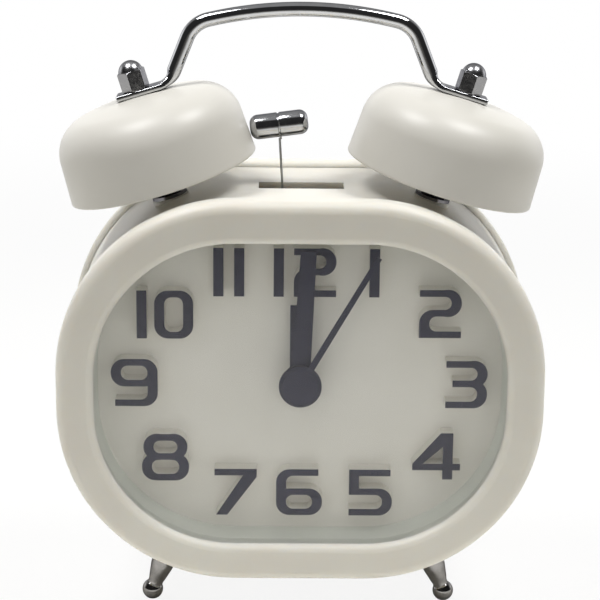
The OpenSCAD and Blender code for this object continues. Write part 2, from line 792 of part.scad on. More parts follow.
module handle_half() {
  crook_x = arch_end_x - crook_r * sin(arch_slope);
  crook_z = arch_top - arch_r + (arch_r - crook_r) * cos(arch_slope);
  leg_x = crook_x + crook_r * sin(leg_slope);
  leg_z = crook_z + crook_r * cos(leg_slope);
  low_x = leg_x + leg_len * cos(leg_slope);
  low_z = leg_z - leg_len * sin(leg_slope);
  rod_joint(arch_end_x, crook_z + crook_r * cos(arch_slope));
  rod_arc(crook_x, crook_z, crook_r, arch_slope, leg_slope, 1);
  rod_joint(leg_x, leg_z);
  translate([leg_x, 0, leg_z]) rotate([0, 90 + leg_slope, 0]) translate([0, 0, joint_gap])
    cylinder(r = rod_r, h = leg_len - 2 * joint_gap);
  rod_joint(low_x, low_z);
  rod_arc(low_x + heel_r * sin(leg_slope), low_z + heel_r * cos(leg_slope), heel_r,
    leg_slope, bell_tilt, -1);
  rod_joint(heel_x, heel_z);
}

// The rod's end runs on along the bell's top and is pressed flat into a drilled tab
module handle_tab() difference() {
  union() {
    linear_extrude(tab_t) polygon([[0.4 - tab_in, -press_w], [press_len - tab_in, -tab_w / 2],
      [tab_out - 1, -tab_w / 2], [tab_out, 1 - tab_w / 2], [tab_out, tab_w / 2 - 1],
      [tab_out - 1, tab_w / 2], [press_len - tab_in, tab_w / 2], [0.4 - tab_in, press_w]]);
    difference() {
      translate([joint_gap - tab_in, 0, rod_lift]) rotate([0, 90, 0])
        cylinder(r = rod_r, h = press_len);
      slab(-handle_d, handle_d) polygon([[press_len - tab_in + eps, tab_t / 2],
        [press_len - tab_in, tab_t / 2], [press_from - tab_in, 2 * rod_lift],
        [press_len - tab_in + eps, 2 * rod_lift]]);
    }
  }
  translate([0, 0, -eps]) cylinder(r = stud_r + 0.1, h = tab_t + 2 * eps);
}

module handle() color(chrome) place() {
  translate([0, bell_y, 0]) rod_arc(0, arch_top - arch_r, arch_r, -arch_slope, arch_slope, 1);
  for (flip_x = [0, 1]) mirror([flip_x, 0, 0]) {
    translate([0, bell_y, 0]) handle_half();
    on_bell(1) translate([0, 0, bell_h]) handle_tab();
  }
}

// Hammer and striker

module hammer_head() color(chrome) place() on_hammer() translate([0, hammer_y, head_reach]) difference() {
  rotate([0, 90, 0]) rotate_extrude() difference() {
    union() {
      translate([0, head_round - head_len / 2]) square([head_d / 2, head_len - 2 * head_round]);
      translate([0, -head_len / 2]) square([head_d / 2 - head_round, head_len]);
      for (s = [-1, 1]) translate([head_d / 2 - head_round, s * (head_len / 2 - head_round)])
        circle(head_round);
    }
    translate([head_d / 2, 0]) circle(groove_r);
    translate([-9, -head_len]) square([9, 2 * head_len]);
  }
  translate([0, 0, -head_d]) cylinder(r = wire_r + slack, h = head_d);
}

// The wire leans from the lever's top towards the middle of the head
module on_wire() translate([wire_foot[0], hammer_y, wire_foot[1]]) rotate([0, wire_lean, 0]) children();

module hammer_wire() color(steel) place() on_hammer() {
  on_wire() translate([0, 0, -wire_sink])
    cylinder(r = wire_r, h = wire_sink + wire_rise / cos(wire_lean) - head_d / 2 - 0.4);
  translate([0, hammer_y, head_reach - head_d / 2 - 0.8]) cylinder(r = wire_r, h = head_d / 2 + 0.6);
}

module lever_plate() slab(hammer_y - lever_t / 2, hammer_y + lever_t / 2) children();

module hammer_lever() color(moulding) place() on_hammer() difference() {
  union() {
    lever_plate() circle(2.8);
    lever_plate() polygon([[-1.8, -1], [1.8, -1], [wire_foot[0] + 1.4, wire_foot[1]],
      [wire_foot[0] - 1.4, wire_foot[1]]]);
    lever_plate() polygon([[-1.8, 1], [1.8, 1], [3.1, 3 - fork_reach], [3.1, -fork_reach - 2.6],
      [-3.1, -fork_reach - 2.6], [-3.1, 3 - fork_reach]]);
  }
  round_y(1 + run_fit, hammer_y - lever_t, hammer_y + lever_t);
  slab(hammer_y - lever_t, hammer_y + lever_t) translate([-pin_r - 0.75, -fork_reach - 4])
    square([2 * pin_r + 1.5, 6.6]);
  on_wire() translate([0, 0, -wire_sink - slack]) cylinder(r = wire_r + slack, h = wire_sink + 1);
}

module hammer_pivot() color(steel) place() translate([0, 0, pivot_z])
  round_y(1, move_back - 0.8, frame_y + frame_t);

module striker_frame() color(steel) place() difference() {
  union() {
    slab(frame_y, frame_y + frame_t) {
      translate([-10, crank_z - 8]) square([27.5, 13]);
      translate([-5, crank_z]) square([10, pivot_z - crank_z + 4]);
    }
    for (p = [[-8, crank_z - 12.5], [motor_x + 4, crank_z - 12.5]])
      translate([p[0], 0, p[1]]) round_y(1.6, move_back, frame_y + frame_t);
    for (x = [-8, motor_x + 4]) translate([x - 1.6, frame_y, crank_z - 12.5]) cube([3.2, frame_t, 6]);
    translate([0, 0, crank_z]) round_y(1, crank_y + web_t + run_fit, frame_y + eps);
  }
  translate([0, 0, pivot_z]) round_y(1 + slack, frame_y - eps, frame_y + frame_t + eps);
  translate([motor_x, 0, crank_z]) round_y(1.6, frame_y - eps, frame_y + frame_t + eps);
}

module striker_motor() color(steel) place() translate([motor_x, 0, crank_z]) {
  difference() {
    slab(frame_y + frame_t, frame_y + frame_t + motor_len) intersection() {
      circle(motor_r);
      square([20, 10], center = true);
    }
    round_y(0.75 + run_fit, frame_y, frame_y + frame_t + 6);
  }
}

module motor_pinion() color(brass) place() translate([motor_x, 0, crank_z]) {
  slab(crank_y - 0.1, crank_y + 1.1) rotate(180 + 180 / motor_teeth) gear_shape(motor_teeth, train_m);
  round_y(0.75, crank_y, frame_y + frame_t + 5.5);
}

module crank_gear() color(brass) place() translate([0, 0, crank_z]) {
  difference() {
    slab(crank_y, crank_y + 1) gear_shape(crank_teeth, train_m);
    round_y(1 + run_fit, crank_y + web_t, crank_y + 1 + eps);
  }
  translate([crank_throw, 0, 0]) round_y(pin_r, hammer_y - lever_t / 2 - 0.4, crank_y + web_t);
}

// Battery

module battery() color("#6d7076") place()
translate([0, cell_y, cell_z]) rotate([0, 90, 0]) rotate_extrude() {
  translate([0, -cell_len / 2 + 0.4]) square([cell_r - 0.6, cell_len - 1.8]);
  translate([0, -cell_len / 2 + 1]) square([cell_r, cell_len - 3]);
  translate([0, cell_len / 2 - 1.6]) square([2.7, 1.6]);
  translate([0, -cell_len / 2]) square([4.5, 1]);
}

module contact_plus() color(brass) place() translate([cell_len / 2 + 0.1, cell_y, cell_z]) {
  translate([1.6, -6, -5]) cube([0.5, 12, 10]);
  rotate([0, 90, 0]) cylinder(r = 2.2, h = 1.7);
}

module contact_minus() color(brass) place() translate([-cell_len / 2 - 0.1, cell_y, cell_z]) {
  translate([-2.6, -6, -5]) cube([0.5, 12, 10]);
  for (s = [-1, 1]) translate([0, -1.5, s * 2.4]) slab(0, 3)
    polygon([[-2.3, s * 2.4], [-2.3, s * 1.8], [-0.5, -s * 1], [0, -s * 0.8],
      [0, -s * 0.4], [-0.4, -s * 0.4]]);
}

// Feet

module foot(length) rotate_extrude() {
  intersection() {
    circle(ball_d / 2);
    translate([0, -ball_d]) square([ball_d, 2 * ball_d]);
  }
  polygon([[0, 0], [foot_neck, 0], [foot_neck, 2.6], [foot_stem, 7], [foot_stem, length - 1.2],
    [foot_collar, length - 1], [foot_collar, length], [foot_stud, length],
    [foot_stud, length + stud_len], [0, length + stud_len]]);
}

// The ball ends are ground flat where they meet the floor
module stand() difference() {
  children();
  translate([-case_w / 2, 0, -body_z - ball_d]) cube([case_w, case_depth, ball_d]);
}

module foot_left() color(chrome) place() stand() on_foot(-1) foot(splay_len);

module foot_right() color(chrome) place() stand() on_foot(1) foot(splay_len);

module foot_rear() color(chrome) place() stand() translate([0, rear_foot_y, ball_z]) foot(foot_len);

front_bezel();
lens();
dial_surround();
dial();
numeral_faces();
case_body();
rear_cover();
battery_door();
case_screws();
alarm_hand();
hour_hand();
minute_hand();
second_hand();
movement_case();
movement_cover();
circuit_board();
drive_coil();
second_wheel();
minute_arbor();
motion_wheel();
hour_wheel();
alarm_wheel();
time_knob();
alarm_knob();
alarm_switch();
bell_left();
bell_right();
bell_post_left();
bell_post_right();
post_washers();
post_nuts();
dome_nuts();
handle();
hammer_head();
hammer_wire();
hammer_lever();
hammer_pivot();
striker_frame();
striker_motor();
motor_pinion();
crank_gear();
battery();
contact_plus();
contact_minus();
foot_left();
foot_right();
foot_rear();
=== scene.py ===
import json
import math

import bmesh
import bpy
from mathutils import Matrix, Vector


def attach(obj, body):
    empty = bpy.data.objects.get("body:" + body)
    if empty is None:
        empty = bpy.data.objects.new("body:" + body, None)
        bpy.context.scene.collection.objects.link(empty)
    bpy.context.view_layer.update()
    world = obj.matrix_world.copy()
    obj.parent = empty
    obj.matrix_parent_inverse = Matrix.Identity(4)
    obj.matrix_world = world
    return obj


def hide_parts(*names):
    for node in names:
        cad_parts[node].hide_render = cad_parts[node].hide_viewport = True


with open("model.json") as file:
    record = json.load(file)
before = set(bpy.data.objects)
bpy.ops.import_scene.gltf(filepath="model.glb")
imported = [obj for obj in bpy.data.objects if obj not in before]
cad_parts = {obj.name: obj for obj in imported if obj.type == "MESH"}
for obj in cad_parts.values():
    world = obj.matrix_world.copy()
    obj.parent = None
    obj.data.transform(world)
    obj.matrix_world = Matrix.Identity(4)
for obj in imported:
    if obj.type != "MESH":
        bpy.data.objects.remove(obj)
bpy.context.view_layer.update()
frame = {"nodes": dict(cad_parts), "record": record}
nodes = frame["nodes"]
mm = 0.001
print("clock: loaded", len(nodes), "nodes")


def hexColour(text):  # sRGB hex to the linear values that shaders take
    parts = [int(text[i:i + 2], 16) / 255 for i in (1, 3, 5)]
    return tuple(p / 12.92 if p <= 0.04045 else ((p + 0.055) / 1.055) ** 2.4 for p in parts) + (1.0,)


def addNode(tree, kind, settings=None, inputs=None):
    node = tree.nodes.new(kind)
    for name, value in (settings or {}).items():
        setattr(node, name, value)
    for key, value in (inputs or {}).items():
        if isinstance(value, bpy.types.NodeSocket):
            tree.links.new(value, node.inputs[key])
        else:
            node.inputs[key].default_value = value
    return node


def newMaterial(name):
    material = bpy.data.materials.new(name)
    material.use_nodes = True
    material.node_tree.nodes.clear()
    return material, material.node_tree


# Materials

plasticLook = {"flowMm": 16.67, "spread": (0.3, 0.7), "relief": 0.25, "ior": 1.52}  # shared by the plastics
creamLook = {"low": "#e0dcd2", "high": "#e4e1d7", "roughness": (0.40, 0.48), "grainMm": 0.5,
             "grainDepth": 0.012, "through": 0.7, "throughMm": (2.4, 2.2, 1.9)}
wallLook = {"low": "#dcded6", "high": "#e3e5dd", "roughness": (0.45, 0.52), "grainMm": 0.45,
            "grainDepth": 0.008}
dialLook = {"low": "#dfdbd2", "high": "#e5e1d9", "roughness": (0.5, 0.58), "grainMm": 0.4,
            "grainDepth": 0.006}
inkLook = {"low": "#29283a", "high": "#2e2d41", "roughness": (0.45, 0.55), "grainMm": 0.35,
           "grainDepth": 0.006, "specular": 0.12}
knobLook = {"low": "#2f2e34", "high": "#3a3940", "roughness": (0.3, 0.4), "grainMm": 0.6,
            "grainDepth": 0.01}
movementLook = {"low": "#e2e0d8", "high": "#eceae3", "roughness": (0.4, 0.5), "grainMm": 0.7,
                "grainDepth": 0.01}
boardLook = {"low": "#2c5f3e", "high": "#3b7650", "roughness": (0.35, 0.45), "grainMm": 1.6,
             "grainDepth": 0.01}
cellLook = {"low": "#5d6066", "high": "#6b6e74", "roughness": (0.3, 0.38), "grainMm": 1.2,
            "grainDepth": 0.006}


def mouldedPlastic(name, look):
    # moulded plastic: even colour with a faint flow mottle, and a fine spark-eroded grain that softens the
    # gloss; pale walls let a little light through, so cut edges glow warm
    material, tree = newMaterial(name)
    low, high = plasticLook["spread"]
    place = addNode(tree, "ShaderNodeTexCoord")
    flow = addNode(tree, "ShaderNodeTexNoise", None,
                   {"Vector": place.outputs["Object"], "Scale": 1000 / plasticLook["flowMm"], "Detail": 3.0})
    tone = addNode(tree, "ShaderNodeValToRGB", None, {"Fac": flow.outputs["Fac"]})
    tone.color_ramp.elements[0].position, tone.color_ramp.elements[1].position = low, high
    tone.color_ramp.elements[0].color = hexColour(look["low"])
    tone.color_ramp.elements[1].color = hexColour(look["high"])
    grain = addNode(tree, "ShaderNodeTexNoise", None,
                    {"Vector": place.outputs["Object"], "Scale": 1000 / look["grainMm"], "Detail": 2.0})
    gloss = addNode(tree, "ShaderNodeMapRange", None,
                    {"Value": grain.outputs["Fac"], "From Min": low, "From Max": high,
                     "To Min": look["roughness"][0], "To Max": look["roughness"][1]})
    bump = addNode(tree, "ShaderNodeBump", None,
                   {"Height": grain.outputs["Fac"], "Strength": plasticLook["relief"],
                    "Distance": look["grainDepth"] * mm})
    skin = addNode(tree, "ShaderNodeBsdfPrincipled", None,
                   {"Base Color": tone.outputs["Color"], "Roughness": gloss.outputs["Result"],
                    "Normal": bump.outputs["Normal"], "IOR": plasticLook["ior"],
                    "Specular IOR Level": look.get("specular", 0.5),
                    "Subsurface Weight": look.get("through", 0.0),
                    "Subsurface Radius": look.get("throughMm", (1.0, 1.0, 1.0)), "Subsurface Scale": mm})
    addNode(tree, "ShaderNodeOutputMaterial", None, {"Surface": skin.outputs["BSDF"]})
    return material


enamelLook = {"low": "#d6d3ca", "high": "#dbd8d0", "roughness": (0.36, 0.40), "driftMm": 22.2,
              "spread": (0.3, 0.7), "peelMm": 2.2, "peelDepth": 0.010, "relief": 0.2, "ior": 1.5}


def stovedEnamel(name, look):
    # stoved enamel on pressed steel: a smooth coat with a satin gloss and a very shallow orange peel
    material, tree = newMaterial(name)
    low, high = look["spread"]
    place = addNode(tree, "ShaderNodeTexCoord")
    drift = addNode(tree, "ShaderNodeTexNoise", None,
                    {"Vector": place.outputs["Object"], "Scale": 1000 / look["driftMm"], "Detail": 2.0})
    tone = addNode(tree, "ShaderNodeValToRGB", None, {"Fac": drift.outputs["Fac"]})
    tone.color_ramp.elements[0].position, tone.color_ramp.elements[1].position = low, high
    tone.color_ramp.elements[0].color = hexColour(look["low"])
    tone.color_ramp.elements[1].color = hexColour(look["high"])
    peel = addNode(tree, "ShaderNodeTexNoise", None,
                   {"Vector": place.outputs["Object"], "Scale": 1000 / look["peelMm"], "Detail": 1.0})
    gloss = addNode(tree, "ShaderNodeMapRange", None,
                    {"Value": drift.outputs["Fac"], "From Min": low, "From Max": high,
                     "To Min": look["roughness"][0], "To Max": look["roughness"][1]})
    bump = addNode(tree, "ShaderNodeBump", None,
                   {"Height": peel.outputs["Fac"], "Strength": look["relief"],
                    "Distance": look["peelDepth"] * mm})
    skin = addNode(tree, "ShaderNodeBsdfPrincipled", None,
                   {"Base Color": tone.outputs["Color"], "Roughness": gloss.outputs["Result"],
                    "Normal": bump.outputs["Normal"], "IOR": look["ior"]})
    addNode(tree, "ShaderNodeOutputMaterial", None, {"Surface": skin.outputs["BSDF"]})
    return material


metalLook = {"spread": (0.35, 0.65), "edge": "#ffffff"}  # shared by the metals; this edge is for bare ones
chromeLook = {"low": "#c2c3c6", "high": "#cacbcd", "roughness": (0.05, 0.08), "wearMm": 3.0,
              "edge": "#7a7a7d"}
nickelLook = {"low": "#8d8b8a", "high": "#9a9897", "roughness": (0.10, 0.16), "wearMm": 1.6,
              "edge": "#7a7a7d"}
turnedLook = {"low": "#bcbdc0", "high": "#c6c7c9", "roughness": (0.10, 0.14), "wearMm": 2.0,
              "edge": "#6c6c70"}
satinLook = {"low": "#a8a8ab", "high": "#b3b3b5", "roughness": (0.20, 0.28), "wearMm": 1.8,
             "edge": "#7a7a7d"}
# the washers and posts under the bells are chrome; this darker copy is painted shade for the shadow and dark
# bell insides above them
seatShadeLook = {"low": "#69686b", "high": "#777679", "roughness": (0.08, 0.14), "wearMm": 1.4,
            "edge": "#8a8a8d"}
zincLook = {"low": "#a7a9ab", "high": "#b9bbbc", "roughness": (0.28, 0.42), "wearMm": 1.2}
brassLook = {"low": "#b8924a", "high": "#cfae66", "roughness": (0.2, 0.34), "wearMm": 1.0}
copperLook = {"low": "#a55c31", "high": "#b9703f", "roughness": (0.25, 0.35), "wearMm": 0.25}


def platedMetal(name, look):
    # plated or cut metal: mirror-like, with handling haze that widens the highlights in patches; plating
    # darkens where it is seen at a slant
    material, tree = newMaterial(name)
    low, high = metalLook["spread"]
    place = addNode(tree, "ShaderNodeTexCoord")
    haze = addNode(tree, "ShaderNodeTexNoise", None,
                   {"Vector": place.outputs["Object"], "Scale": 1000 / look["wearMm"], "Detail": 4.0})
    tone = addNode(tree, "ShaderNodeValToRGB", None, {"Fac": haze.outputs["Fac"]})
    tone.color_ramp.elements[0].position, tone.color_ramp.elements[1].position = low, high
    tone.color_ramp.elements[0].color = hexColour(look["low"])
    tone.color_ramp.elements[1].color = hexColour(look["high"])
    gloss = addNode(tree, "ShaderNodeMapRange", None,
                    {"Value": haze.outputs["Fac"], "From Min": low, "From Max": high,
                     "To Min": look["roughness"][0], "To Max": look["roughness"][1]})
    skin = addNode(tree, "ShaderNodeBsdfPrincipled", None,
                   {"Base Color": tone.outputs["Color"], "Roughness": gloss.outputs["Result"],
                    "Metallic": 1.0, "Specular Tint": hexColour(look.get("edge", metalLook["edge"]))})
    addNode(tree, "ShaderNodeOutputMaterial", None, {"Surface": skin.outputs["BSDF"]})
    return material


lensLook = {"tint": "#fdfefd", "ior": 1.36, "gloss": 0.03, "filmMm": 11.1, "haze": (0.01, 0.03)}


def clearAcrylic(name, look):
    # moulded acrylic: clear and faintly green; slanting light loses at its two faces what they reflect
    material, tree = newMaterial(name)
    place = addNode(tree, "ShaderNodeTexCoord")
    film = addNode(tree, "ShaderNodeTexNoise", None,
                   {"Vector": place.outputs["Object"], "Scale": 1000 / look["filmMm"], "Detail": 2.0})
    gloss = addNode(tree, "ShaderNodeMapRange", None,
                    {"Value": film.outputs["Fac"], "To Min": look["haze"][0], "To Max": look["haze"][1]})
    skin = addNode(tree, "ShaderNodeBsdfPrincipled", None,
                   {"Base Color": hexColour(look["tint"]), "Roughness": gloss.outputs["Result"],
                    "IOR": look["ior"], "Transmission Weight": 1.0, "Specular IOR Level": look["gloss"]})
    face = addNode(tree, "ShaderNodeFresnel", None, {"IOR": look["ior"]})
    passed = addNode(tree, "ShaderNodeMath", {"operation": "SUBTRACT"}, {0: 1.0, 1: face.outputs["Fac"]})
    grey = addNode(tree, "ShaderNodeCombineColor", None,
                   {channel: passed.outputs["Value"] for channel in ("Red", "Green", "Blue")})
    shade = addNode(tree, "ShaderNodeBsdfTransparent", None, {"Color": grey.outputs["Color"]})
    path = addNode(tree, "ShaderNodeLightPath")
    mix = addNode(tree, "ShaderNodeMixShader", None,
                  {"Fac": path.outputs["Is Shadow Ray"], 1: skin.outputs["BSDF"], 2: shade.outputs["BSDF"]})
    addNode(tree, "ShaderNodeOutputMaterial", None, {"Surface": mix.outputs["Shader"]})
    return material


creamAbs = mouldedPlastic("creamAbs", creamLook)
bellEnamel = stovedEnamel("bellEnamel", enamelLook)
wallStyrene = mouldedPlastic("wallStyrene", wallLook)
dialStyrene = mouldedPlastic("dialStyrene", dialLook)
figureInk = mouldedPlastic("figureInk", inkLook)
knobAbs = mouldedPlastic("knobAbs", knobLook)
movementAbs = mouldedPlastic("movementAbs", movementLook)
solderMask = mouldedPlastic("solderMask", boardLook)
cellCan = mouldedPlastic("cellCan", cellLook)
brightChrome = platedMetal("brightChrome", chromeLook)
footNickel = platedMetal("footNickel", nickelLook)
turnedChrome = platedMetal("turnedChrome", turnedLook)
satinChrome = platedMetal("satinChrome", satinLook)
seatShadeMetal = platedMetal("seatShadeMetal", seatShadeLook)
zincSteel = platedMetal("zincSteel", zincLook)
wheelBrass = platedMetal("wheelBrass", brassLook)
coilCopper = platedMetal("coilCopper", copperLook)
lensAcrylic = clearAcrylic("lensAcrylic", lensLook)

finishes = {"case_cream": creamAbs, "bell_cream": bellEnamel, "window": lensAcrylic,
            "dial_white": dialStyrene, "charcoal": figureInk, "bright_chrome": brightChrome,
            "plain_steel": zincSteel, "wheel_brass": wheelBrass, "movement_white": movementAbs,
            "knob_dark": knobAbs, "board_green": solderMask, "coil_copper": coilCopper, "cell_grey": cellCan}
for entry in frame["record"]["subparts"]:
    mesh = nodes[entry["node"]].data
    mesh.materials.clear()
    mesh.materials.append(finishes[entry["material_slot"]])
nodes["dial_surround"].data.materials[0] = wallStyrene
# the chrome washers and posts take a darkened metal, painted shade for the shade under the bells
for node in ("post_washers", "bell_post_left", "bell_post_right"):
    nodes[node].data.materials[0] = seatShadeMetal
print("clock: materials on", len(nodes), "nodes")

# Node trees for turned and bent pieces

weldMm = 0.002
seamSnap = 1e-5


def newTree(name, inputs):
    tree = bpy.data.node_groups.new(name, "GeometryNodeTree")
    tree.interface.new_socket("Geometry", in_out="INPUT", socket_type="NodeSocketGeometry")
    for label, kind in inputs:
        tree.interface.new_socket(label, in_out="INPUT", socket_type=kind)
    tree.interface.new_socket("Geometry", in_out="OUTPUT", socket_type="NodeSocketGeometry")
    return tree, addNode(tree, "NodeGroupInput").outputs


def closeTree(tree, given, shape):
    # welds the seam and the poles, smooths, and ends as a plain mesh with its material
    weld = addNode(tree, "GeometryNodeMergeByDistance", None, {"Geometry": shape, "Distance": weldMm * mm})
    smooth = addNode(tree, "GeometryNodeSetShadeSmooth", None, {"Geometry": weld.outputs["Geometry"]})
    real = addNode(tree, "GeometryNodeRealizeInstances", None, {"Geometry": smooth.outputs["Geometry"]})
    finish = addNode(tree, "GeometryNodeSetMaterial", None,
                     {"Geometry": real.outputs["Geometry"], "Material": given["Material"]})
    addNode(tree, "NodeGroupOutput", None, {"Geometry": finish.outputs["Geometry"]})
    return tree


def rowsAndTurn(tree, given):
    # a sheet with one row for each point of the input, and the angle that each column stands at
    size = addNode(tree, "GeometryNodeAttributeDomainSize", None, {"Geometry": given["Geometry"]})
    columns = addNode(tree, "ShaderNodeMath", {"operation": "ADD"}, {0: given["Segments"], 1: 1.0})
    sheet = addNode(tree, "GeometryNodeMeshGrid", None,
                    {"Size X": 1.0, "Size Y": 1.0, "Vertices X": columns.outputs["Value"],
                     "Vertices Y": size.outputs["Point Count"]})
    spot = addNode(tree, "ShaderNodeSeparateXYZ", None,
                   {"Vector": addNode(tree, "GeometryNodeInputPosition").outputs["Position"]})
    last = addNode(tree, "ShaderNodeMath", {"operation": "SUBTRACT"},
                   {0: size.outputs["Point Count"], 1: 1.0})
    half = addNode(tree, "ShaderNodeMath", {"operation": "ADD"}, {0: spot.outputs["Y"], 1: 0.5})
    row = addNode(tree, "ShaderNodeMath", {"operation": "MULTIPLY"},
                  {0: half.outputs["Value"], 1: last.outputs["Value"]})
    whole = addNode(tree, "ShaderNodeMath", {"operation": "ROUND"}, {0: row.outputs["Value"]})
    turn = addNode(tree, "ShaderNodeMath", {"operation": "MULTIPLY"},
                   {0: spot.outputs["X"], 1: 2 * math.pi})
    cosine = addNode(tree, "ShaderNodeMath", {"operation": "COSINE"}, {0: turn.outputs["Value"]})
    sine = addNode(tree, "ShaderNodeMath", {"operation": "SINE"}, {0: turn.outputs["Value"]})
    return sheet.outputs["Mesh"], whole.outputs["Value"], cosine.outputs["Value"], sine.outputs["Value"]


def sampleRow(tree, given, row, kind, field):
    return addNode(tree, "GeometryNodeSampleIndex", {"data_type": kind, "domain": "POINT"},
                   {"Geometry": given["Geometry"], "Value": field, "Index": row}).outputs["Value"]


def turnedTree():
    # a profile in X and Z, turned about Z
    tree, given = newTree("turnedPiece", (("Segments", "NodeSocketInt"), ("Material", "NodeSocketMaterial")))
    sheet, row, cosine, sine = rowsAndTurn(tree, given)
    place = addNode(tree, "GeometryNodeInputPosition").outputs["Position"]
    profile = addNode(tree, "ShaderNodeSeparateXYZ", None,
                      {"Vector": sampleRow(tree, given, row, "FLOAT_VECTOR", place)})
    x = addNode(tree, "ShaderNodeMath", {"operation": "MULTIPLY"}, {0: profile.outputs["X"], 1: cosine})
    y = addNode(tree, "ShaderNodeMath", {"operation": "MULTIPLY"}, {0: profile.outputs["X"], 1: sine})
    spot = addNode(tree, "ShaderNodeCombineXYZ", None,
                   {"X": x.outputs["Value"], "Y": y.outputs["Value"], "Z": profile.outputs["Z"]})
    shape = addNode(tree, "GeometryNodeSetPosition", None,
                    {"Geometry": sheet, "Position": spot.outputs["Vector"]})
    return closeTree(tree, given, shape.outputs["Geometry"])


def rodTree():
    # a rod along a path in the XZ plane, round where square is 2 and flattened where across and thick differ
    tree, given = newTree("bentRod", (("Segments", "NodeSocketInt"), ("Material", "NodeSocketMaterial")))
    sheet, row, cosine, sine = rowsAndTurn(tree, given)
    named = {}
    kinds = {"across": "FLOAT", "thick": "FLOAT", "square": "FLOAT", "lift": "FLOAT_VECTOR"}
    for label, kind in kinds.items():
        field = addNode(tree, "GeometryNodeInputNamedAttribute", {"data_type": kind}, {"Name": label})
        named[label] = sampleRow(tree, given, row, kind, field.outputs["Attribute"])
    power = addNode(tree, "ShaderNodeMath", {"operation": "DIVIDE"}, {0: 2.0, 1: named["square"]})
    reach = {}
    for label, wave in (("across", cosine), ("thick", sine)):
        size = addNode(tree, "ShaderNodeMath", {"operation": "ABSOLUTE"}, {0: wave})
        # a wave that is only nearly zero would grow under the power and leave the seam open
        zeroed = addNode(tree, "ShaderNodeMath", {"operation": "SNAP"},
                         {0: size.outputs["Value"], 1: seamSnap})
        side = addNode(tree, "ShaderNodeMath", {"operation": "SIGN"}, {0: wave})
        curve = addNode(tree, "ShaderNodeMath", {"operation": "POWER"},
                        {0: zeroed.outputs["Value"], 1: power.outputs["Value"]})
        signed = addNode(tree, "ShaderNodeMath", {"operation": "MULTIPLY"},
                         {0: curve.outputs["Value"], 1: side.outputs["Value"]})
        reach[label] = addNode(tree, "ShaderNodeMath", {"operation": "MULTIPLY"},
                               {0: signed.outputs["Value"], 1: named[label]}).outputs["Value"]
    place = addNode(tree, "GeometryNodeInputPosition").outputs["Position"]
    centre = sampleRow(tree, given, row, "FLOAT_VECTOR", place)
    wide = addNode(tree, "ShaderNodeCombineXYZ", None, {"Y": reach["across"]})
    high = addNode(tree, "ShaderNodeVectorMath", {"operation": "SCALE"},
                   {0: named["lift"], "Scale": reach["thick"]})
    both = addNode(tree, "ShaderNodeVectorMath", {"operation": "ADD"},
                   {0: wide.outputs["Vector"], 1: high.outputs["Vector"]})
    spot = addNode(tree, "ShaderNodeVectorMath", {"operation": "ADD"}, {0: centre, 1: both.outputs["Vector"]})
    shape = addNode(tree, "GeometryNodeSetPosition", None,
                    {"Geometry": sheet, "Position": spot.outputs["Vector"]})
    return closeTree(tree, given, shape.outputs["Geometry"])


turnedNodes = turnedTree()
rodNodes = rodTree()


def runTree(name, tree, points, material, look, place, attributes=None):
    # points in mm go in as loose vertices; the evaluated tree becomes a plain mesh, then takes its place
    seed = bpy.data.meshes.new(name + "Path")
    seed.from_pydata([tuple(c * mm for c in p) for p in points], [], [])
    for label, (kind, values) in (attributes or {}).items():
        layer = seed.attributes.new(label, kind, "POINT")
        layer.data.foreach_set("vector" if kind == "FLOAT_VECTOR" else "value", values)
    carrier = bpy.data.objects.new(name + "Path", seed)
    bpy.context.scene.collection.objects.link(carrier)
    modifier = carrier.modifiers.new("nodes", "NODES")
    modifier.node_group = tree
    sockets = {item.name: item.identifier for item in tree.interface.items_tree if item.in_out == "INPUT"}
    modifier[sockets["Segments"]] = look["segments"]
    modifier[sockets["Material"]] = material
    ready = carrier.evaluated_get(bpy.context.evaluated_depsgraph_get())
    mesh = bpy.data.meshes.new_from_object(ready)
    carrier.modifiers.remove(modifier)
    bpy.data.objects.remove(carrier)
    mesh.name = name
    mesh.transform(place)
    shape = bmesh.new()
    shape.from_mesh(mesh)
    bmesh.ops.recalc_face_normals(shape, faces=shape.faces)
    shape.to_mesh(mesh)
    shape.free()
    mesh.shade_smooth()
    mesh.set_sharp_from_angle(angle=math.radians(look["crease"]))
    piece = bpy.data.objects.new(name, mesh)
    bpy.context.scene.collection.objects.link(piece)
    return piece


def arcPoints(cx, cz, radius, start, end, steps):
    # degrees from +X, counted towards +Z
    turn = [math.radians(start + (end - start) * i / steps) for i in range(steps + 1)]
    return [(cx + radius * math.cos(a), 0, cz + radius * math.sin(a)) for a in turn]


caseLook = {"back": 31.5, "rise": 58.9}  # from the bezel's face and the case's middle to the shared frame


def inCase(x, y, z, tilt=0.0):
    spot = Vector((x, y - caseLook["back"], z + caseLook["rise"])) * mm
    return Matrix.Translation(spot) @ Matrix.Rotation(math.radians(tilt), 4, "Y")


# Bells

bellLook = {"radius": 24.1, "height": 21.6, "sheet": 1.0, "shoulder": 9.5, "crown": 75.0, "taper": 0.5,
            "bore": 2.05, "x": 34.5, "y": 28.5, "z": 48.8, "tilt": 17.0, "wallRows": (7.5, 4.5, 2.0, 1.0),
            "domeSteps": 14, "bendSteps": 18, "lipSteps": 8, "segments": 128, "crease": 32}


def bellSide(radius, height, shoulder, crown):
    # from the bore down to the rim
    top = radius - bellLook["taper"]
    edgeX = top - shoulder
    edgeZ = height - crown + math.sqrt((crown - shoulder) ** 2 - edgeX ** 2)
    meet = math.degrees(math.atan2(edgeX, edgeZ - height + crown))
    start = math.degrees(math.asin(bellLook["bore"] / crown))
    dome = arcPoints(0, height - crown, crown, 90 - start, 90 - meet, bellLook["domeSteps"])
    bend = arcPoints(edgeX, edgeZ, shoulder, 90 - meet, 0, bellLook["bendSteps"])
    return dome + bend[1:], edgeZ


